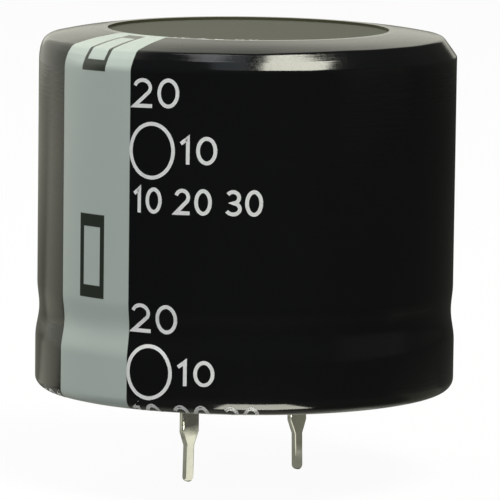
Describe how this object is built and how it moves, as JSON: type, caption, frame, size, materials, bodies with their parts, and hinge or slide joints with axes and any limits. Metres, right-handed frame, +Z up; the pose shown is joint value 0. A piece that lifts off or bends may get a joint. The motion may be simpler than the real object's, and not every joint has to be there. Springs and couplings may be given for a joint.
{
  "type": "electrolytic capacitor",
  "caption": "Snap-in aluminium electrolytic capacitor: a sleeved round can with a negative band, a sealed end and board terminals.",
  "frame": {"origin": "on the can's axis, in the plane where the sleeved rim meets the circuit board", "axes": "+Z up through the can, away from the board; the terminals stand on the X axis, the negative one at -X; +Y completes a right-handed frame"},
  "size_m": [0.0306, 0.0306, 0.033],
  "materials": {
    "sleeve_film": "glossy heat-shrunk film",
    "band_ink": "satin ink printed on the film",
    "plate_sheet": "matte",
    "can_aluminium": "drawn, satin",
    "phenolic": "laminated sheet",
    "seal_rubber": "matte",
    "terminal_tin": "tin-plated steel strip",
    "rivet_aluminium": "satin",
    "tab_foil": "matte foil",
    "wound_paper": "wet kraft paper and etched foil",
    "tape_film": "adhesive film"
  },
  "bodies": {
    "root": {"sleeve": "sleeve_film", "negative_band": "band_ink", "insulating_plate": "plate_sheet", "can": "can_aluminium", "phenolic_deck": "phenolic", "rubber_seal": "seal_rubber", "terminal_negative": "terminal_tin", "terminal_positive": "terminal_tin", "rivet_negative": "rivet_aluminium", "rivet_positive": "rivet_aluminium", "washer_negative": "rivet_aluminium", "washer_positive": "rivet_aluminium", "tab_negative": "tab_foil", "tab_positive": "tab_foil", "wound_element": "wound_paper", "element_tape": "tape_film"}
  },
  "joints": []
}
